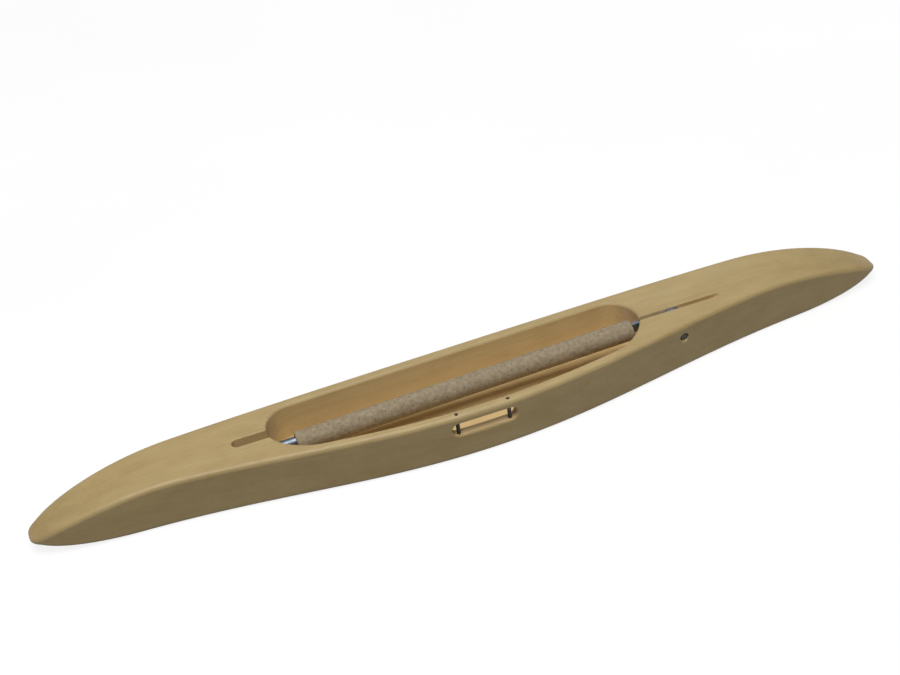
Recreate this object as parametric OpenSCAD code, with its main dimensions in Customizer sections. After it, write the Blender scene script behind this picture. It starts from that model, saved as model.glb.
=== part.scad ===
/* [Body] */
// Length from tip to tip
body_l = 300; // [270:1:340]
// Greatest width, at the belly that carries the yarn eye
body_w = 37.2; // [34:0.1:44]
// Height from the flat underside to the flat top
body_h = 17.2; // [16:0.1:22]
// Width of the two noses where they leave the belly
nose_w = 24.4; // [20:0.1:30]
// Length along the front side over which the belly swells out
belly_l = 236; // [190:1:260]
// Length of each nose over which the top falls away
nose_l = 50; // [35:1:70]
// How far the top falls towards a tip
nose_drop = 11; // [7:0.1:12]
// Length of each nose over which the underside rises
toe_l = 35; // [20:1:60]
// How far the underside rises towards a tip
toe_rise = 3.6; // [1:0.1:4]
// Squareness of the noses seen from above
nose_fullness = 3.2; // [2.4:0.1:4]
// Radius along the long outer edges
edge_r = 1.7; // [1:0.1:4]

/* [Cavity] */
// Length of the cavity
cavity_l = 129.3; // [126:0.1:150]
// How far the middle of the cavity lies towards the spindle's tip
cavity_shift = 5.1; // [0:0.1:12]
// Thickness of the straight back wall
back_wall = 4.1; // [3:0.1:6]
// Thickness of the curved front wall
front_wall = 3.6; // [3:0.1:5]
// Thickness of the wood under the cavity
floor_t = 3.2; // [2.5:0.1:5]
// Radius of the cavity's back corners
back_corner_r = 9.5; // [6:0.1:10]
// Reach of the cavity's front corners along its length
front_corner_r = 15; // [10:0.5:25]

/* [Yarn eye] */
// Distance of the eye's centre from the middle of the body, towards the spindle's tip
eye_shift = 3.9; // [0:0.1:10]
// Length of the eye
eye_l = 22.3; // [20:0.1:30]
// Height of the eye
eye_h = 4.9; // [4.5:0.1:6]
// Depth of the eye's centre below the top
eye_depth = 5.4; // [5:0.1:8]
// Distance between the two guide pins
guide_gap = 17.5; // [12:0.1:18]
// Diameter of the guide pins
guide_d = 1.3; // [1:0.1:1.6]
// Depth of the guide pins' lower ends below the top
guide_depth = 12; // [10:0.1:13]
// Depth of the guide pins' upper ends below the top
guide_sink = 0.4; // [0.2:0.1:1]

/* [Spindle] */
// Distance of the spindle from the straight back side, at mid length
spindle_from_back = 16.5; // [15:0.1:18]
// Angle of the spindle to the back side, its pivot nearer the front
spindle_skew = 1.24; // [0:0.02:2]
// Slope of the lowered spindle, down towards its tip
spindle_tilt = 1.8; // [0.8:0.1:2.4]
// Diameter of the spindle rod
rod_d = 3.2; // [2.8:0.1:3.8]
// Distance from the pivot pin to the tip of the rod
rod_reach = 150.5; // [148:0.5:154]
// Height of the rod's axis above the pivot pin
rod_offset = 2.6; // [2:0.1:3]
// Length of the rounded tip of the rod
tip_l = 4; // [2:0.5:6]

/* [Pivot] */
// Distance of the pivot pin from the cavity's end
pivot_from_cavity = 11.2; // [9:0.1:14]
// Depth of the pivot pin below the top
pivot_depth = 5; // [5:0.1:6]
// Diameter of the pivot pin
pivot_d = 2.5; // [2:0.1:3]
// Length of the pivot pin
pivot_l = 18; // [14:0.5:20]
// Depth of the pin's end below the front side of the body
pivot_sink = 0.5; // [0.3:0.1:1]
// Radius of the round hub of the pivot plate
hub_r = 4.9; // [4.4:0.1:4.9]
// Thickness of the pivot plate
plate_t = 1.3; // [1:0.1:1.6]
// Distance of the rod's slit end from the pivot pin
rod_start = 16; // [15:0.5:20]
// Length of the plate's tail inside the slit end of the rod
tail_l = 9; // [6:0.5:12]
// Radius of the round saw that cuts the place of the pivot plate
saw_r = 39.5; // [36:0.5:45]
// Distance of the saw's centre from the pivot pin, towards the cavity
saw_back = 11.2; // [8:0.1:12]
// Thickness of the leaf spring under the hub
spring_t = 0.4; // [0.3:0.1:0.6]
// Reach of the leaf spring along the cut, to each side of the pivot pin
spring_reach = 7; // [5:0.5:9]

/* [Quill] */
// Length of the quill
quill_l = 117.5; // [100:0.5:118]
// Outer diameter of the quill
quill_d = 7.1; // [6.5:0.1:8]
// Diameter of the quill's bore
quill_bore = 4.6; // [4.4:0.1:5]
// Distance of the quill's near end from the pivot pin
quill_start = 14.6; // [14:0.1:18]
// Radius round the outer edges of the quill's ends
quill_edge_r = 0.5; // [0.2:0.1:0.6]

/* [Clearances] */
// Gap between the rod and each side of its slot
slot_gap = 0.35; // [0.3:0.05:0.6]
// Gap between the rod and the floor of its slot
rest_gap = 0.3; // [0.3:0.05:1]
// Gap between the tip of the rod and the end of its slot
tip_gap = 2; // [1:0.1:4]
// Gap between the pivot plate and each side of the saw cut
plate_gap = 0.15; // [0.1:0.05:0.3]
// Radial gap between the pivot pin and the hub's bore
hub_gap = 0.08; // [0.05:0.01:0.1]
// Gap between the quill's bore and the top of the rod that it hangs on
hang_gap = 0.1; // [0.08:0.02:0.2]
// Gap between the hub and its spring
spring_gap = 0.1; // [0.05:0.05:0.2]

/* [Hidden] */
$fn = 48;
eps = 0.5;

// Line of the two tips, and the ends of the cavity
tip_y = body_w / 2 - nose_w / 2;
cavity_left = -cavity_shift - cavity_l / 2;
cavity_right = -cavity_shift + cavity_l / 2;

// Number of cross sections of the body, and of steps round each of its corners
sections = 47;
corner_steps = 4;
// Sharpness of the rounded tips, seen from the side
tip_roundness = 40;

// Centre of the pivot pin
pivot_x = cavity_right + pivot_from_cavity;
pivot_y = body_w / 2 - spindle_from_back - pivot_x * tan(spindle_skew);
pivot_z = body_h - pivot_depth;

// The saw goes just deep enough for the hub and its spring
cut_w = plate_t + 2 * plate_gap;
saw_up = sqrt(pow(saw_r - hub_r - spring_gap - spring_t, 2) - pow(saw_back, 2));

// Lowest point of the rod at its tip, below the pivot pin
rod_low = rod_reach * sin(spindle_tilt) - rod_offset * cos(spindle_tilt) + rod_d / 2;
slot_w = rod_d + 2 * slot_gap;
slot_end = rod_reach + tip_gap - slot_w / 2;

// The quill hangs below the axis of the rod by the play in its bore
quill_drop = (quill_bore - rod_d) / 2 - hang_gap;

// Plan of the body: a straight back, and a front side that swells into the belly
function taper(x) = pow(max(0, 1 - pow(abs(x) / (body_l / 2), nose_fullness)), 1 / nose_fullness);
function belly(x) = abs(x) < belly_l / 2 ? (body_w - nose_w) * pow(cos(180 * x / belly_l), 2) : 0;
function back_y(x) = tip_y + nose_w / 2 * taper(x);
function front_y(x) = tip_y - nose_w / 2 * taper(x) - belly(x);

// Side view of the body: flat top and underside, with noses that fall and rise to a rounded tip
function ramp(x, run) = pow(max(0, abs(x) - body_l / 2 + run) / run, 2);
function closing(x) = sqrt(max(0, 1 - pow(abs(x) / (body_l / 2), tip_roundness)));
function upper(x) = body_h - nose_drop * ramp(x, nose_l);
function lower(x) = toe_rise * ramp(x, toe_l);
function mid_z(x) = (upper(x) + lower(x)) / 2;
function half_t(x) = (upper(x) - lower(x)) / 2 * closing(x);
function half_w(x) = (back_y(x) - front_y(x)) / 2;
function corner_r(x) = min(edge_r, 0.96 * half_t(x), 0.96 * half_w(x));

// One rounded cross section of the body, going round from the upper back corner
function section(x) = [
  for (q = [0 : 3], i = [0 : corner_steps])
    let (
      a = 90 * (q + i / corner_steps),
      r = corner_r(x),
      sy = q == 0 || q == 3 ? 1 : -1,
      sz = q < 2 ? 1 : -1
    )
    [
      x,
      (back_y(x) + front_y(x)) / 2 + sy * (half_w(x) - r) + r * cos(a),
      mid_z(x) + sz * (half_t(x) - r) + r * sin(a)
    ]
];

// Plan of the cavity: quarter rounds at its ends, and a front side parallel to the belly
cavity_axis = tip_y - 2.1;
cavity_back = body_w / 2 - back_wall;
function round_end(x, reach) =
  let (d = min(x - cavity_left, cavity_right - x))
  d >= reach ? 1 : sqrt(max(0, 1 - pow(1 - d / reach, 2)));
function cavity_front_y(x) =
  cavity_axis + (front_y(x) + front_wall - cavity_axis) * round_end(x, front_corner_r);
function cavity_back_y(x) = cavity_axis + (cavity_back - cavity_axis) * round_end(x, back_corner_r);
cavity_steps = 40;
cavity_xs = [
  for (i = [0 : cavity_steps])
    -cavity_shift - cavity_l / 2 * cos(180 * i / cavity_steps)
];
cavity_outline = concat(
  [for (i = [0 : cavity_steps]) [cavity_xs[i], cavity_front_y(cavity_xs[i])]],
  [for (i = [cavity_steps - 1 : -1 : 1]) [cavity_xs[i], cavity_back_y(cavity_xs[i])]]
);

// Frame of the pivot: its origin on the pin, and -X along the spindle seen from above
module at_pivot() {
  translate([pivot_x, pivot_y, pivot_z])
    rotate([0, 0, -spindle_skew])
      children();
}

// The same frame, sloped with the lowered spindle
module at_spindle() {
  at_pivot()
    rotate([0, -spindle_tilt, 0])
      children();
}

module body_blank() {
  per_ring = 4 * (corner_steps + 1);
  rings = [for (i = [1 : sections]) section(body_l / 2 * sin(180 * i / (sections + 1) - 90))];
  tips = [[-body_l / 2, tip_y, mid_z(body_l / 2)], [body_l / 2, tip_y, mid_z(body_l / 2)]];
  left_tip = sections * per_ring;
  right_tip = left_tip + 1;
  last = left_tip - per_ring;
  polyhedron(
    points = concat([for (ring = rings) each ring], tips),
    faces = concat(
      [
        for (s = [0 : sections - 2], k = [0 : per_ring - 1])
          let (a = s * per_ring + k, b = s * per_ring + (k + 1) % per_ring)
          each [[a, a + per_ring, b], [b, a + per_ring, b + per_ring]]
      ],
      [for (k = [0 : per_ring - 1]) [left_tip, k, (k + 1) % per_ring]],
      [for (k = [0 : per_ring - 1]) [right_tip, last + (k + 1) % per_ring, last + k]]
    )
  );
}

module cavity_cut() {
  translate([0, 0, floor_t])
    linear_extrude(body_h)
      polygon(cavity_outline);
}

// Open slot in the end of the cavity that takes the tip of the rod
module slot_cut() {
  low = rod_low + rest_gap;
  at_pivot() {
    translate([-slot_end, -slot_w / 2, -low])
      cube([slot_end - pivot_from_cavity - cavity_l / 2, slot_w, low + body_h]);
    translate([-slot_end, 0, -low])
      cylinder(d = slot_w, h = low + body_h);
  }
}

// Narrow cut of a round saw that takes the pivot plate
module saw_cut() {
  at_pivot()
    translate([-saw_back, 0, saw_up])
      rotate([90, 0, 0])
        cylinder(r = saw_r, h = cut_w, center = true, $fn = 180);
}

// Place of the pivot pin's front end, along the pin
pin_front = (front_y(pivot_x) - pivot_y) / cos(spindle_skew) + pivot_sink;

module pivot_bore() {
  mouth = pin_front - pivot_sink - eps;
  at_pivot()
    translate([0, pin_front + pivot_l, 0])
      rotate([90, 0, 0]) {
        cylinder(d = pivot_d, h = pivot_l - mouth + pin_front);
        translate([0, 0, pivot_l + pivot_sink - 0.25])
          cylinder(d1 = pivot_d, d2 = pivot_d + 1.5, h = 0.75);
      }
}

// Long round-ended opening through the front wall
module eye_cut() {
  wall_y = front_y(-eye_shift);
  translate([-eye_shift, wall_y, body_h - eye_depth]) {
    translate([0, front_wall / 2, 0])
      cube([eye_l - eye_h, 3 * front_wall, eye_h], center = true);
    for (side = [-1, 1])
      translate([side * (eye_l - eye_h) / 2, 2 * front_wall, 0])
        rotate([90, 0, 0])
          cylinder(d = eye_h, h = 3 * front_wall);
  }
}

// Centre of a guide pin, in the middle of the front wall
function guide_x(side) = -eye_shift + side * guide_gap / 2;
function guide_y(side) = front_y(guide_x(side)) + front_wall / 2;

module guide_bore(side) {
  translate([guide_x(side), guide_y(side), body_h - guide_depth])
    cylinder(d = guide_d, h = guide_depth + eps);
}

module guide_pin(side) {
  translate([guide_x(side), guide_y(side), body_h - guide_depth])
    cylinder(d = guide_d, h = guide_depth - guide_sink);
}

module shuttle_body() {
  color("burlywood")
    difference() {
      body_blank();
      cavity_cut();
      slot_cut();
      saw_cut();
      pivot_bore();
      eye_cut();
      guide_bore(-1);
      guide_bore(1);
    }
}

module spindle_rod() {
  straight_l = rod_reach - rod_start - tip_l;
  color("lightslategray")
    at_spindle()
      translate([-rod_start, 0, rod_offset])
        rotate([0, -90, 0])
          difference() {
            union() {
              cylinder(d = rod_d, h = straight_l);
              translate([0, 0, straight_l])
                rotate_extrude()
                  intersection() {
                    scale([1, 2 * tip_l / rod_d])
                      circle(d = rod_d);
                    square([rod_d, tip_l]);
                  }
            }
            translate([-rod_d, -plate_t / 2, -eps])
              cube([2 * rod_d, plate_t, tail_l + eps]);
          }
}

module pivot_plate() {
  color("slategray")
    at_spindle()
      difference() {
        union() {
          rotate([90, 0, 0])
            cylinder(r = hub_r, h = plate_t, center = true);
          translate([-rod_start - tail_l, -plate_t / 2, rod_offset - rod_d / 2])
            cube([rod_start + tail_l, plate_t, rod_d]);
        }
        rotate([90, 0, 0])
          cylinder(d = pivot_d + 2 * hub_gap, h = 2 * plate_t, center = true);
      }
}

module pivot_pin() {
  color("dimgray")
    at_pivot()
      translate([0, pin_front + pivot_l, 0])
        rotate([90, 0, 0])
          cylinder(d = pivot_d, h = pivot_l);
}

module hub_spring() {
  color("silver")
    at_pivot()
      intersection() {
        translate([-saw_back, 0, saw_up])
          rotate([90, 0, 0])
            difference() {
              cylinder(r = saw_r, h = plate_t, center = true, $fn = 180);
              cylinder(r = saw_r - spring_t, h = 2 * plate_t, center = true, $fn = 180);
            }
        translate([-spring_reach, -plate_t, -saw_r])
          cube([2 * spring_reach, 2 * plate_t, saw_r]);
      }
}

module guide_pin_left() {
  color("dimgray")
    guide_pin(-1);
}

module guide_pin_right() {
  color("dimgray")
    guide_pin(1);
}

module quill() {
  color("tan")
    at_spindle()
      translate([-quill_start, 0, rod_offset - quill_drop])
        rotate([0, -90, 0])
          rotate_extrude() {
            translate([quill_bore / 2, 0])
              square([(quill_d - quill_bore) / 2 - quill_edge_r, quill_l]);
            translate([quill_d / 2 - quill_edge_r, quill_edge_r])
              square([quill_edge_r, quill_l - 2 * quill_edge_r]);
            for (y = [quill_edge_r, quill_l - quill_edge_r])
              translate([quill_d / 2 - quill_edge_r, y])
                circle(r = quill_edge_r);
          }
}

shuttle_body();
spindle_rod();
pivot_plate();
pivot_pin();
hub_spring();
guide_pin_left();
guide_pin_right();
quill();
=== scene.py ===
"""Damask boat shuttle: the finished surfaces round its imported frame. Lengths are in metres."""

import math

import bmesh
import bpy
from mathutils import Matrix, Vector


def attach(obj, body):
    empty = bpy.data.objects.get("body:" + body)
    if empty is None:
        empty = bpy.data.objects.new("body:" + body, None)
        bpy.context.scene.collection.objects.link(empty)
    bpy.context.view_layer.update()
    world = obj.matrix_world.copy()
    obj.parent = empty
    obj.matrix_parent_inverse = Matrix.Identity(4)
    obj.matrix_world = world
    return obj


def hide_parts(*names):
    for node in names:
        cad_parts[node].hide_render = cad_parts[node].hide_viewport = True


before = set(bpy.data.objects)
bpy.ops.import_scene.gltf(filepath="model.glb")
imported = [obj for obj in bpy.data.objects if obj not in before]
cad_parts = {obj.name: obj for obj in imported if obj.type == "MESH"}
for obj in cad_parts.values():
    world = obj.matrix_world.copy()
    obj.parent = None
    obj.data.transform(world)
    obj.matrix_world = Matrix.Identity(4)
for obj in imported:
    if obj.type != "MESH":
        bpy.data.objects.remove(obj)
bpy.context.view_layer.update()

MM = 0.001

# How far a cutter reaches past the surface that it opens
CUT_OVER = 1 * MM

# Body, as in the construction
LENGTH = 300 * MM
WIDTH = 37.2 * MM
HEIGHT = 17.2 * MM
NOSE_W = 24.4 * MM
BELLY_L = 236 * MM
NOSE_L = 50 * MM
NOSE_DROP = 11 * MM
TOE_L = 35 * MM
TOE_RISE = 3.6 * MM
FULLNESS = 3.2
TIP_ROUNDNESS = 40
EDGE_R = 1.7 * MM
TIP_Y = (WIDTH - NOSE_W) / 2

# Cavity
CAVITY_L = 129.3 * MM
CAVITY_X = -5.1 * MM
BACK_WALL = 4.1 * MM
FRONT_WALL = 3.6 * MM
FLOOR = 3.2 * MM
BACK_CORNER = 9.5 * MM
FRONT_CORNER = 15 * MM
CAVITY_AXIS = TIP_Y - 2.1 * MM
RIM_R = 0.9 * MM
COVE_R = 1.5 * MM

# Yarn eye and its guide pins
EYE_X = -3.9 * MM
EYE_L = 22.3 * MM
EYE_H = 4.9 * MM
EYE_Z = HEIGHT - 5.4 * MM
EYE_RIM = 0.5 * MM
GUIDE_GAP = 17.5 * MM
GUIDE_D = 1.3 * MM
GUIDE_DEPTH = 12 * MM
GUIDE_SINK = 0.4 * MM
GUIDE_PLAY = 0.04 * MM

# Spindle, its pivot and the quill
SKEW = math.radians(1.24)
TILT = math.radians(1.8)
FROM_BACK = 16.5 * MM
ROD_D = 3.2 * MM
ROD_REACH = 150.5 * MM
ROD_UP = 2.6 * MM
ROD_START = 16 * MM
TIP_L = 4 * MM
TAIL_L = 9 * MM
PIVOT_D = 2.5 * MM
PIVOT_L = 18 * MM
PIVOT_SINK = 0.5 * MM
PIVOT_DEPTH = 5 * MM
PIVOT_PLAY = 0.15 * MM
PIVOT_FROM_CAVITY = 11.2 * MM
MOUTH_WIDER = 1 * MM
MOUTH_DEPTH = 1.4 * MM
PLATE_T = 1.3 * MM
PLATE_GAP = 0.15 * MM
HUB_R = 4.9 * MM
HUB_PLAY = 0.16 * MM
SAW_R = 39.5 * MM
SAW_BACK = 11.2 * MM
SPRING_SPACE = 0.5 * MM
SAW_UP = math.sqrt((SAW_R - HUB_R - SPRING_SPACE) ** 2 - SAW_BACK ** 2)
QUILL_L = 117.5 * MM
QUILL_D = 7.1 * MM
QUILL_BORE = 4.6 * MM
QUILL_START = 14.6 * MM
HANG_GAP = 0.1 * MM
QUILL_DROP = (QUILL_BORE - ROD_D) / 2 - HANG_GAP
ROD_PLAY = 0.7 * MM
TIP_PLAY = 2 * MM
UNDER_ROD = 0.3 * MM
SLOT_W = ROD_D + ROD_PLAY
SLOT_END = ROD_REACH + TIP_PLAY - SLOT_W / 2
SLOT_RIM = 0.35 * MM

PIVOT_X = CAVITY_X + CAVITY_L / 2 + PIVOT_FROM_CAVITY
PIVOT = Vector((PIVOT_X, WIDTH / 2 - FROM_BACK - PIVOT_X * math.tan(SKEW), HEIGHT - PIVOT_DEPTH))
AT_PIVOT = Matrix.Translation(PIVOT) @ Matrix.Rotation(-SKEW, 4, "Z")
AT_SPINDLE = AT_PIVOT @ Matrix.Rotation(-TILT, 4, "Y")

# Where the cut faces of the cavity, slot and saw cut may show along the body, and how far in from its
# sides. These faces get the wood painted lighter to stand in for bounce light
ROUTED_FROM = -85 * MM
ROUTED_TO = 92 * MM
ROUTED_INSET = 1.5 * MM

# Strength of the world's light, and of the floor as the camera and reflections see it
WORLD_LIGHT = 0.12
FLOOR_GLOW = 0.86

# The camera, found from the photograph: angles, distance, and how far the middle lies off the tips' line
AZIMUTH = math.radians(-14.875)
ELEVATION = math.radians(36.733)
ROLL = math.radians(-8.657)
# It was found for a shuttle 295 mm long
PHOTO_SCALE = 300 / 295
DISTANCE = 555 * MM * PHOTO_SCALE
OFF_RIGHT = 5.817 * MM * PHOTO_SCALE
OFF_UP = -8.187 * MM * PHOTO_SCALE
LENS = 68.8


def deselect():
    for obj in bpy.context.selected_objects:
        obj.select_set(False)


def pick(obj):
    deselect()
    obj.select_set(True)
    bpy.context.view_layer.objects.active = obj


def settle(obj, name):
    """Puts the object's place into its mesh and gives it its name."""
    pick(obj)
    bpy.ops.object.transform_apply(location=True, rotation=True, scale=True)
    obj.name = name
    obj.data.name = name
    return obj


def face_outwards(obj):
    pick(obj)
    bpy.ops.object.mode_set(mode="EDIT")
    bpy.ops.mesh.select_all(action="SELECT")
    bpy.ops.mesh.remove_doubles(threshold=0.000001)
    bpy.ops.mesh.normals_make_consistent(inside=False)
    shell = bmesh.from_edit_mesh(obj.data)
    if shell.calc_volume(signed=True) < 0:
        bpy.ops.mesh.flip_normals()
    bpy.ops.object.mode_set(mode="OBJECT")


def smooth(obj, angle=35):
    pick(obj)
    bpy.ops.object.shade_smooth_by_angle(angle=math.radians(angle))
    modifier = obj.modifiers.new("even_normals", "WEIGHTED_NORMAL")
    modifier.keep_sharp = True
    bpy.ops.object.modifier_apply(modifier=modifier.name)


def skin(name, rings, closed=False):
    """A closed mesh through rings of points. Its ends are flat, or meet each other when closed."""
    count = len(rings[0])
    total = len(rings)
    points = [point for ring in rings for point in ring]
    faces = []
    for s in range(total if closed else total - 1):
        after = (s + 1) % total
        for k in range(count):
            side = (k + 1) % count
            faces.append((s * count + k, s * count + side, after * count + side, after * count + k))
    if not closed:
        faces.append(tuple(reversed(range(count))))
        faces.append(tuple(range((total - 1) * count, total * count)))
    mesh = bpy.data.meshes.new(name)
    mesh.from_pydata(points, [], faces)
    obj = bpy.data.objects.new(name, mesh)
    bpy.context.scene.collection.objects.link(obj)
    face_outwards(obj)
    return obj


def cut(target, cutter):
    pick(target)
    modifier = target.modifiers.new("cut", "BOOLEAN")
    modifier.operation = "DIFFERENCE"
    modifier.solver = "EXACT"
    modifier.object = cutter
    bpy.ops.object.modifier_apply(modifier=modifier.name)
    bpy.data.objects.remove(cutter, do_unlink=True)


def round_bar(name, diameter, low, high, turn, sides=48):
    """A plain round bar between two heights of its own Z axis, placed by a matrix."""
    deselect()
    bpy.ops.mesh.primitive_cylinder_add(vertices=sides, radius=diameter / 2, depth=high - low)
    obj = bpy.context.active_object
    obj.matrix_world = turn @ Matrix.Translation((0, 0, (low + high) / 2))
    return settle(obj, name)


def ease_ends(obj, width, segments=3):
    """Rounds the sharp rims of a piece."""
    pick(obj)
    modifier = obj.modifiers.new("ease", "BEVEL")
    modifier.width = width
    modifier.segments = segments
    modifier.limit_method = "ANGLE"
    modifier.angle_limit = math.radians(50)
    bpy.ops.object.modifier_apply(modifier=modifier.name)
    return obj


# Plan and side view of the body
def taper(x):
    return max(0, 1 - (abs(x) * 2 / LENGTH) ** FULLNESS) ** (1 / FULLNESS)


def belly(x):
    return (WIDTH - NOSE_W) * math.cos(math.pi * x / BELLY_L) ** 2 if abs(x) < BELLY_L / 2 else 0


def back_y(x):
    return TIP_Y + NOSE_W / 2 * taper(x)


def front_y(x):
    return TIP_Y - NOSE_W / 2 * taper(x) - belly(x)


def ramp(x, run):
    return (max(0, abs(x) - LENGTH / 2 + run) / run) ** 2


def section(x, corner_steps=8):
    """One rounded cross section of the body."""
    top = HEIGHT - NOSE_DROP * ramp(x, NOSE_L)
    low = TOE_RISE * ramp(x, TOE_L)
    closing = math.sqrt(max(0, 1 - (abs(x) * 2 / LENGTH) ** TIP_ROUNDNESS))
    half_t = (top - low) / 2 * closing
    half_w = (back_y(x) - front_y(x)) / 2
    r = min(EDGE_R, 0.96 * half_t, 0.96 * half_w)
    mid_y = (back_y(x) + front_y(x)) / 2
    ring = []
    for quarter, (sy, sz) in enumerate(((1, 1), (-1, 1), (-1, -1), (1, -1))):
        for i in range(corner_steps + 1):
            a = math.radians(90 * (quarter + i / corner_steps))
            y = mid_y + sy * (half_w - r) + r * math.cos(a)
            z = (top + low) / 2 + sz * (half_t - r) + r * math.sin(a)
            ring.append((x, y, z))
    return ring


def body_blank(sections=150):
    xs = [LENGTH / 2 * math.sin(math.pi * (i / (sections + 1) - 0.5)) for i in range(1, sections + 1)]
    rings = [section(x) for x in xs]
    tip_z = (HEIGHT - NOSE_DROP + TOE_RISE) / 2
    left, right = ([(side * LENGTH / 2, TIP_Y, tip_z)] * len(rings[0]) for side in (-1, 1))
    return skin("body_blank", [left] + rings + [right])


def grown(outline, offset):
    """The closed outline moved outwards by the offset. It runs anticlockwise."""
    points = []
    count = len(outline)
    for i, (u, v) in enumerate(outline):
        before = outline[i - 1]
        after = outline[(i + 1) % count]
        du = after[0] - before[0]
        dv = after[1] - before[1]
        size = math.hypot(du, dv)
        points.append((u + offset * dv / size, v - offset * du / size))
    return points


def rim_levels(surface, radius, over, steps=6):
    """Levels and offsets of a cutter that leaves a rounded rim under a surface."""
    levels = []
    for i in range(steps + 1):
        a = math.pi / 2 * i / steps
        levels.append((surface - radius + radius * math.sin(a), radius * (1 - math.cos(a))))
    return levels + [(surface + over, radius)]


def cavity_cutter(steps=90):
    def round_end(x, reach):
        edge = CAVITY_L / 2 - abs(x - CAVITY_X)
        return 1 if edge >= reach else math.sqrt(max(0, 1 - (1 - edge / reach) ** 2))

    def front(x):
        return CAVITY_AXIS + (front_y(x) + FRONT_WALL - CAVITY_AXIS) * round_end(x, FRONT_CORNER)

    def back(x):
        return CAVITY_AXIS + (WIDTH / 2 - BACK_WALL - CAVITY_AXIS) * round_end(x, BACK_CORNER)

    xs = [CAVITY_X - CAVITY_L / 2 * math.cos(math.pi * i / steps) for i in range(steps + 1)]
    outline = [(x, front(x)) for x in xs] + [(x, back(x)) for x in reversed(xs[1:-1])]
    levels = []
    for i in range(5):
        a = math.pi / 2 * i / 4
        levels.append((FLOOR + COVE_R * (1 - math.cos(a)), -COVE_R * (1 - math.sin(a))))
    levels += rim_levels(HEIGHT, RIM_R, CUT_OVER)
    rings = [[(u, v, z) for u, v in grown(outline, offset)] for z, offset in levels]
    return skin("cavity_cutter", rings)


def slot_cutter(steps=20):
    """Round-ended slot that takes the tip of the rod."""
    rod_low = ROD_REACH * math.sin(TILT) - ROD_UP * math.cos(TILT) + ROD_D / 2 + UNDER_ROD
    inner = -(PIVOT_X - CAVITY_X)
    outline = [(inner, -SLOT_W / 2), (inner, SLOT_W / 2)]
    for i in range(steps + 1):
        a = math.pi / 2 + math.pi * i / steps
        outline.append((-SLOT_END + SLOT_W / 2 * math.cos(a), SLOT_W / 2 * math.sin(a)))
    levels = [(-rod_low, 0)] + rim_levels(HEIGHT - PIVOT.z, SLOT_RIM, CUT_OVER, 4)
    rings = [[AT_PIVOT @ Vector((u, v, z)) for u, v in grown(outline, offset)] for z, offset in levels]
    return skin("slot_cutter", rings)


def saw_cutter():
    turn = AT_PIVOT @ Matrix.Translation((-SAW_BACK, 0, SAW_UP)) @ Matrix.Rotation(math.pi / 2, 4, "X")
    half = PLATE_T / 2 + PLATE_GAP
    return round_bar("saw_cutter", 2 * SAW_R, -half, half, turn, 256)


def eye_cutter(steps=16):
    """Long round-ended hole through the front wall, its outer rim rounded along the belly."""
    outline = []
    for side in (1, -1):
        for i in range(steps + 1):
            a = side * math.pi / 2 + math.pi * (i / steps - 1)
            u = side * (EYE_L - EYE_H) / 2 + EYE_H / 2 * math.cos(a)
            outline.append((u, EYE_H / 2 * math.sin(a)))
    rings = []
    for depth, offset in rim_levels(FRONT_WALL, EYE_RIM, 2 * CUT_OVER):
        out = depth - FRONT_WALL
        ring = []
        for u, v in grown(outline, offset):
            x = EYE_X + u
            ring.append((x, front_y(x) - out, EYE_Z + v))
        rings.append(ring)
    inside = [(EYE_X + u, front_y(EYE_X + u) + 2 * FRONT_WALL, EYE_Z + v) for u, v in outline]
    return skin("eye_cutter", [inside] + rings)


def pin_line():
    """Where the pivot pin starts, along its own axis from the pivot's middle, and how it is turned."""
    front = (front_y(PIVOT_X) - PIVOT.y) / math.cos(SKEW) + PIVOT_SINK
    return front, AT_PIVOT @ Matrix.Rotation(-math.pi / 2, 4, "X")


def pivot_bore():
    front, turn = pin_line()
    return round_bar("pivot_bore", PIVOT_D + PIVOT_PLAY, front - 3 * CUT_OVER, front + PIVOT_L, turn)


def pivot_mouth():
    """Small countersink at the pin's end."""
    front, turn = pin_line()
    deselect()
    wide = PIVOT_D / 2 + MOUTH_WIDER
    bpy.ops.mesh.primitive_cone_add(vertices=48, radius1=wide, radius2=PIVOT_D / 2, depth=MOUTH_DEPTH)
    obj = bpy.context.active_object
    obj.matrix_world = turn @ Matrix.Translation((0, 0, front - PIVOT_SINK))
    return settle(obj, "pivot_mouth")


def guide_place(side):
    x = EYE_X + side * GUIDE_GAP / 2
    return Matrix.Translation((x, front_y(x) + FRONT_WALL / 2, HEIGHT))


def is_routed(face):
    """True for the faces of the cavity, the slot and the saw cut, which get the wood painted lighter to
    stand in for bounce light.
    """
    x, y, z = face.center
    if not ROUTED_FROM < x < ROUTED_TO:
        return False
    if not (front_y(x) + ROUTED_INSET < y < back_y(x) - ROUTED_INSET and FLOOR - 0.1 * MM < z):
        return False
    below_rim = z < HEIGHT - 0.6 * RIM_R
    steep = abs(face.normal.z) < 0.6
    return below_rim or steep


def make_body(planed, bounce_painted_wood):
    body = body_blank()
    cutters = [cavity_cutter(), slot_cutter(), saw_cutter(), eye_cutter(), pivot_bore(), pivot_mouth()]
    for side in (-1, 1):
        bore = GUIDE_D + GUIDE_PLAY
        cutters.append(round_bar("guide_bore", bore, -GUIDE_DEPTH, CUT_OVER, guide_place(side), 32))
    for cutter in cutters:
        cut(body, cutter)
    smooth(body)
    body.data.materials.append(planed)
    body.data.materials.append(bounce_painted_wood)
    # The cut faces get the second wood, painted lighter as bounce light inside the cavity, slot and saw
    # cut
    for face in body.data.polygons:
        face.material_index = 1 if is_routed(face) else 0
    return settle(body, "wooden_body")


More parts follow.
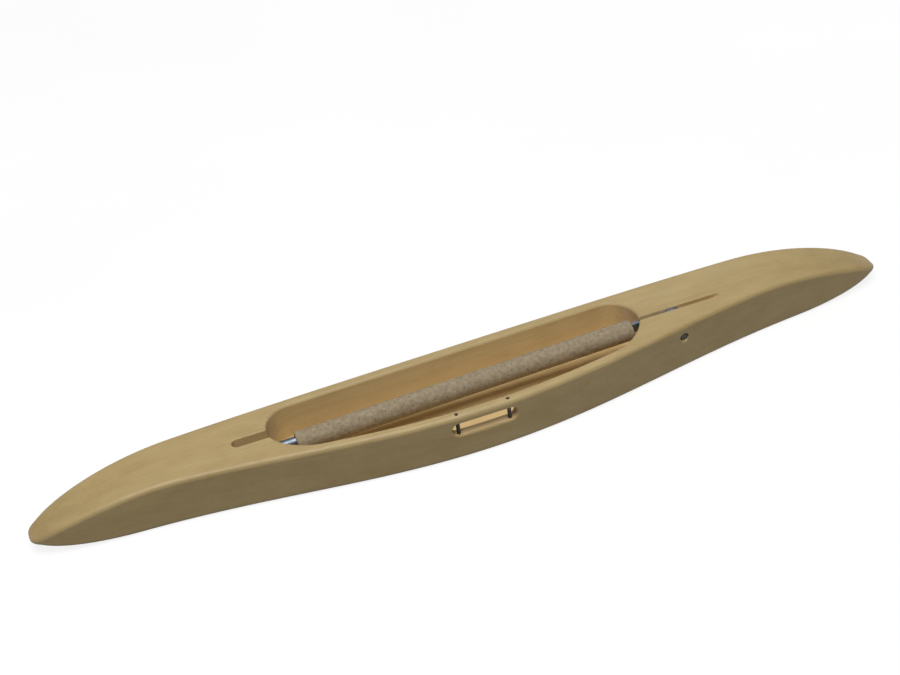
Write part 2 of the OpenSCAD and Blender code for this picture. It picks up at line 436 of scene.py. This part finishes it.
def make_rod():
    """Polished rod with a rounded tip and the slit end that holds the plate."""
    turn = AT_SPINDLE @ Matrix.Translation((-ROD_START, 0, ROD_UP)) @ Matrix.Rotation(-math.pi / 2, 4, "Y")
    length = ROD_REACH - ROD_START
    sides = 48
    angles = [2 * math.pi * k / sides for k in range(sides)]
    # Places along the rod, each with its share of the rod's radius
    stations = [(0, 0.85), (0.25 * MM, 1), (length - TIP_L, 1)]
    stations += [
        (length - TIP_L * (1 - math.sin(a)), max(0.02, math.cos(a)))
        for a in (math.pi / 2 * i / 12 for i in range(1, 13))
    ]
    rings = []
    for along, share in stations:
        r = ROD_D / 2 * share
        rings.append([turn @ Vector((r * math.cos(a), r * math.sin(a), along)) for a in angles])
    rod = skin("spindle_rod_polished", rings)
    deselect()
    bpy.ops.mesh.primitive_cube_add(size=1)
    slit = bpy.context.active_object
    slit.scale = (2 * ROD_D, PLATE_T, 2 * TAIL_L)
    bpy.context.view_layer.update()
    slit.matrix_world = turn @ slit.matrix_world
    settle(slit, "slit_cutter")
    cut(rod, slit)
    smooth(rod)
    return rod


def make_plate():
    """Flat spindle end: a round hub on the pin and a straight tail in the rod's slit."""
    steps = 48
    half = ROD_D / 2
    low_angle = math.asin((ROD_UP - half) / HUB_R)
    high_angle = math.asin((ROD_UP + half) / HUB_R)
    start = math.pi - high_angle
    sweep = 2 * math.pi - (high_angle - low_angle)
    outline = []
    for i in range(steps + 1):
        a = start - sweep * i / steps
        outline.append((HUB_R * math.cos(a), HUB_R * math.sin(a)))
    tail = -ROD_START - TAIL_L
    outline += [(tail, ROD_UP - half), (tail, ROD_UP + half)]
    rings = []
    for y in (-PLATE_T / 2, PLATE_T / 2):
        rings.append([AT_SPINDLE @ Vector((u, y, v)) for u, v in outline])
    plate = skin("pivot_plate_steel", rings)
    bore = AT_SPINDLE @ Matrix.Rotation(math.pi / 2, 4, "X")
    cut(plate, round_bar("hub_bore", PIVOT_D + HUB_PLAY, -PLATE_T, PLATE_T, bore))
    ease_ends(plate, 0.12 * MM, 2)
    smooth(plate)
    return plate


def make_pivot_pin():
    front, turn = pin_line()
    pin = round_bar("pivot_pin_steel", PIVOT_D, front, front + PIVOT_L, turn)
    ease_ends(pin, 0.35 * MM)
    smooth(pin)
    return pin


def make_guide_pin(side, name):
    pin = round_bar(name, GUIDE_D, -GUIDE_DEPTH, -GUIDE_SINK, guide_place(side), 32)
    ease_ends(pin, 0.2 * MM)
    smooth(pin)
    return pin


def make_quill():
    """Pressed cardboard tube with fine knurled rows and rounded ends."""
    turn = AT_SPINDLE @ Matrix.Translation((-QUILL_START, 0, ROD_UP - QUILL_DROP))
    turn = turn @ Matrix.Rotation(-math.pi / 2, 4, "Y")
    sides = 72
    knurls = 18
    knurl_rise = 0.05 * MM
    skin_depth = 0.06 * MM
    outer = QUILL_D / 2 - skin_depth
    inner = QUILL_BORE / 2
    ease = 0.7 * MM
    pitch = 0.75 * MM
    along_steps = int((QUILL_L - 2 * ease) / pitch)
    bends = [(1 - math.cos(a), 1 - math.sin(a)) for a in (math.pi / 8 * i for i in range(4))]
    # Places along the tube, each with its radius and 1 where the knurl is pressed
    stations = [(ease * near, outer - ease * inward, 0) for near, inward in bends]
    for i in range(along_steps + 1):
        stations.append((ease + (QUILL_L - 2 * ease) * i / along_steps, outer, 1))
    stations += [(QUILL_L - ease * near, outer - ease * inward, 0) for near, inward in reversed(bends)]
    stations += [(QUILL_L, inner, 0), (0, inner, 0)]
    rings = []
    for index, (along, radius, pressed) in enumerate(stations):
        ring = []
        for k in range(sides):
            a = 2 * math.pi * k / sides
            bump = pressed * knurl_rise * math.cos(knurls * a + (index % 2) * math.pi)
            r = radius + bump
            ring.append(turn @ Vector((r * math.cos(a), r * math.sin(a), along)))
        rings.append(ring)
    quill = skin("quill_cardboard", rings, closed=True)
    smooth(quill, 50)
    return quill


class Nodes:
    """A small helper that adds and joins a material's nodes."""

    def __init__(self, name):
        self.material = bpy.data.materials.new(name)
        self.material.use_nodes = True
        self.tree = self.material.node_tree
        self.shader = self.tree.nodes["Principled BSDF"]

    def add(self, kind, inputs=(), **settings):
        node = self.tree.nodes.new(kind)
        for key, value in settings.items():
            setattr(node, key, value)
        for key, value in dict(inputs).items():
            if isinstance(value, bpy.types.NodeSocket):
                self.tree.links.new(value, node.inputs[key])
            else:
                node.inputs[key].default_value = value
        return node

    def mapped(self, scale):
        place = self.add("ShaderNodeTexCoord").outputs["Object"]
        return self.add("ShaderNodeMapping", {"Vector": place, "Scale": scale}).outputs["Vector"]

    def noise(self, vector, scale, detail=4, roughness=0.55, distortion=0.0):
        return self.add(
            "ShaderNodeTexNoise",
            {"Vector": vector, "Scale": scale, "Detail": detail, "Roughness": roughness,
             "Distortion": distortion},
        ).outputs["Fac"]

    def ramp(self, value, stops):
        node = self.add("ShaderNodeValToRGB", {"Fac": value})
        elements = node.color_ramp.elements
        while len(elements) < len(stops):
            elements.new(0.5)
        for element, (place, colour) in zip(elements, stops):
            element.position = place
            element.color = (*colour, 1)
        return node.outputs["Color"]

    def mix(self, amount, a, b, blend="MIX"):
        # Inputs 0, 6 and 7 are the factor and the two colours, and output 2 is the mixed colour
        node = self.add("ShaderNodeMix", data_type="RGBA", blend_type=blend)
        for index, value in ((0, amount), (6, a), (7, b)):
            if isinstance(value, bpy.types.NodeSocket):
                self.tree.links.new(value, node.inputs[index])
            else:
                node.inputs[index].default_value = value if index == 0 else (*value, 1)
        return node.outputs[2]

    def math(self, operation, a, b=0.0):
        node = self.add("ShaderNodeMath", operation=operation)
        for index, value in enumerate((a, b)):
            if isinstance(value, bpy.types.NodeSocket):
                self.tree.links.new(value, node.inputs[index])
            else:
                node.inputs[index].default_value = value
        return node.outputs[0]

    def bump(self, height, strength, distance):
        node = self.add("ShaderNodeBump", {"Height": height, "Strength": strength, "Distance": distance})
        self.tree.links.new(node.outputs["Normal"], self.shader.inputs["Normal"])

    def wire(self, value, socket):
        self.tree.links.new(value, self.shader.inputs[socket])

    def fix(self, **values):
        for key, value in values.items():
            self.shader.inputs[key.replace("_", " ")].default_value = value


def pale_wood(name, tint):
    """Satin, close-grained pale wood: long soft bands, fine fibres and short darker pores."""
    n = Nodes(name)
    bands = n.noise(n.mapped((4, 60, 60)), 1.6, 3, 0.5, 0.6)
    fibres = n.noise(n.mapped((40, 1500, 1500)), 1.0, 4, 0.6)
    pores = n.noise(n.mapped((160, 2600, 2600)), 1.0, 2, 0.5)
    mottle = n.noise(n.mapped((90, 170, 170)), 1.0, 3, 0.5)
    base = n.ramp(bands, [(0.32, (0.455, 0.330, 0.148)), (0.5, (0.485, 0.360, 0.166)),
                          (0.70, (0.505, 0.380, 0.180))])
    fibre = n.ramp(fibres, [(0.35, (0.94, 0.93, 0.91)), (0.60, (1.0, 1.0, 1.0))])
    pore = n.ramp(pores, [(0.28, (0.88, 0.84, 0.78)), (0.38, (1.0, 1.0, 1.0))])
    cloud = n.ramp(mottle, [(0.35, (0.95, 0.94, 0.92)), (0.65, (1.03, 1.03, 1.03))])
    colour = n.mix(1.0, base, fibre, "MULTIPLY")
    colour = n.mix(1.0, colour, pore, "MULTIPLY")
    colour = n.mix(1.0, colour, cloud, "MULTIPLY")
    # A tint above one paints the wood lighter, standing in for bounce light
    colour = n.mix(1.0, colour, tint, "MULTIPLY")
    normal = n.add("ShaderNodeNewGeometry").outputs["Normal"]
    across = n.add("ShaderNodeSeparateXYZ", {"Vector": normal}).outputs["X"]
    end_grain = n.ramp(n.math("ABSOLUTE", across), [(0.45, (0, 0, 0)), (0.95, (1, 1, 1))])
    rings = n.noise(n.mapped((900, 900, 900)), 1.0, 2, 0.6)
    pink = n.ramp(rings, [(0.35, (0.440, 0.310, 0.190)), (0.65, (0.560, 0.420, 0.275))])
    amount = n.math("MULTIPLY", end_grain, 0.75)
    n.wire(n.mix(amount, colour, pink), "Base Color")
    n.wire(n.ramp(fibres, [(0.3, (0.50, 0.50, 0.50)), (0.7, (0.40, 0.40, 0.40))]), "Roughness")
    n.bump(fibres, 0.12, 0.00012)
    n.fix(IOR=1.45)
    return n.material


def steel(name, dark, bright, rough, streak):
    """Bare steel with fine drawing marks and a little haze."""
    n = Nodes(name)
    marks = n.noise(n.mapped(streak), 1.0, 3, 0.6)
    haze = n.noise(n.mapped((260, 260, 260)), 1.0, 3, 0.55)
    n.wire(n.ramp(haze, [(0.35, dark), (0.65, bright)]), "Base Color")
    low = (rough - 0.06,) * 3
    high = (rough + 0.08,) * 3
    n.wire(n.ramp(marks, [(0.3, low), (0.7, high)]), "Roughness")
    n.bump(marks, 0.15, 0.00004)
    n.fix(Metallic=1.0)
    return n.material


def cardboard():
    """Grey-beige pressed cardboard with a soft mottle and dark specks."""
    n = Nodes("pressed_cardboard")
    mottle = n.noise(n.mapped((700, 700, 700)), 1.0, 4, 0.65)
    base = n.ramp(mottle, [(0.30, (0.255, 0.200, 0.125)), (0.52, (0.335, 0.268, 0.172)),
                           (0.72, (0.420, 0.345, 0.235))])
    cells = n.add("ShaderNodeTexVoronoi", {"Vector": n.mapped((620, 620, 620)), "Scale": 1.0})
    speck = n.ramp(cells.outputs["Distance"], [(0.12, (0.42, 0.38, 0.34)), (0.26, (1, 1, 1))])
    n.wire(n.mix(0.6, base, speck, "MULTIPLY"), "Base Color")
    n.bump(mottle, 0.35, 0.0002)
    n.fix(Roughness=0.85)
    return n.material


def floor_white():
    """Matt floor that is seen as nearly white, and throws little light on the part."""
    n = Nodes("pale_floor")
    grain = n.noise(n.mapped((9, 9, 9)), 1.0, 2, 0.5)
    n.wire(n.ramp(grain, [(0.3, (0.14, 0.14, 0.14)), (0.7, (0.16, 0.16, 0.16))]), "Base Color")
    n.fix(Roughness=0.9)
    path = n.add("ShaderNodeLightPath")
    seen = n.math("MAXIMUM", path.outputs["Is Camera Ray"], path.outputs["Is Transmission Ray"])
    n.wire(n.math("MULTIPLY", n.math("MAXIMUM", seen, path.outputs["Is Glossy Ray"]), FLOOR_GLOW),
           "Emission Strength")
    n.fix(Emission_Color=(1, 1, 1, 1))
    return n.material


def dress(obj, material, body, node):
    if material:
        obj.data.materials.clear()
        obj.data.materials.append(material)
    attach(obj, body)
    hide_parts(node)


def set_camera():
    back = Vector((
        math.sin(AZIMUTH) * math.cos(ELEVATION),
        -math.cos(AZIMUTH) * math.cos(ELEVATION),
        math.sin(ELEVATION),
    ))
    level = Vector((math.cos(AZIMUTH), math.sin(AZIMUTH), 0))
    upright = back.cross(level)
    right = level * math.cos(ROLL) + upright * math.sin(ROLL)
    up = upright * math.cos(ROLL) - level * math.sin(ROLL)
    aim = Vector((0, TIP_Y, HEIGHT)) - right * OFF_RIGHT - up * OFF_UP
    data = bpy.data.cameras.new("camera")
    data.lens = LENS
    data.clip_start = 0.01
    camera = bpy.data.objects.new("camera", data)
    bpy.context.scene.collection.objects.link(camera)
    turn = Matrix((right, up, back)).transposed().to_4x4()
    camera.matrix_world = Matrix.Translation(aim + back * DISTANCE) @ turn
    bpy.context.scene.camera = camera


def soft_light(name, place, size, power, target=(0, 0, 0.01)):
    data = bpy.data.lights.new(name, "AREA")
    data.shape = "DISK"
    data.size = size
    data.energy = power
    lamp = bpy.data.objects.new(name, data)
    bpy.context.scene.collection.objects.link(lamp)
    away = Vector(place) - Vector(target)
    lamp.matrix_world = Matrix.Translation(place) @ away.to_track_quat("Z", "Y").to_matrix().to_4x4()


def set_stage():
    deselect()
    bpy.ops.mesh.primitive_plane_add(size=8)
    floor = settle(bpy.context.active_object, "floor")
    floor.data.materials.append(floor_white())
    soft_light("sky_panel", (-0.1, -0.24, 1.0), 0.8, 9.5)
    soft_light("back_panel", (0.3, 0.8, 0.6), 0.6, 0.8)
    world = bpy.data.worlds.new("studio")
    bpy.context.scene.world = world
    world.use_nodes = True
    background = world.node_tree.nodes["Background"]
    background.inputs["Color"].default_value = (1, 1, 1, 1)
    background.inputs["Strength"].default_value = WORLD_LIGHT
    bpy.context.scene.view_settings.view_transform = "Standard"


set_camera()
set_stage()

planed = pale_wood("pale_wood", (1.0, 1.0, 1.0))
# Wood of the cut faces, painted lighter and paler to stand in for the bounce light inside the cavity, slot
# and saw cut
bounce_painted_wood = pale_wood("routed_wood_painted_bounce", (1.50, 1.50, 1.62))
bright_steel = steel("rod_steel", (0.17, 0.21, 0.26), (0.25, 0.30, 0.36), 0.48, (30, 2500, 2500))
blued_steel = steel("plate_steel", (0.20, 0.24, 0.30), (0.30, 0.35, 0.42), 0.45, (400, 400, 2500))
dark_steel = steel("pin_steel", (0.035, 0.033, 0.030), (0.075, 0.070, 0.065), 0.42, (1500, 1500, 200))
spring_steel = steel("spring_steel", (0.40, 0.42, 0.45), (0.55, 0.57, 0.60), 0.30, (40, 2500, 2500))

dress(make_body(planed, bounce_painted_wood), None, "shuttle", "shuttle_body")
dress(make_rod(), bright_steel, "spindle", "spindle_rod")
dress(make_plate(), blued_steel, "spindle", "pivot_plate")
dress(make_pivot_pin(), dark_steel, "shuttle", "pivot_pin")
dress(make_guide_pin(-1, "left_guide"), dark_steel, "shuttle", "guide_pin_left")
dress(make_guide_pin(1, "right_guide"), dark_steel, "shuttle", "guide_pin_right")
dress(make_quill(), cardboard(), "quill", "quill")

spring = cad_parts["hub_spring"]
spring.data.materials.clear()
spring.data.materials.append(spring_steel)
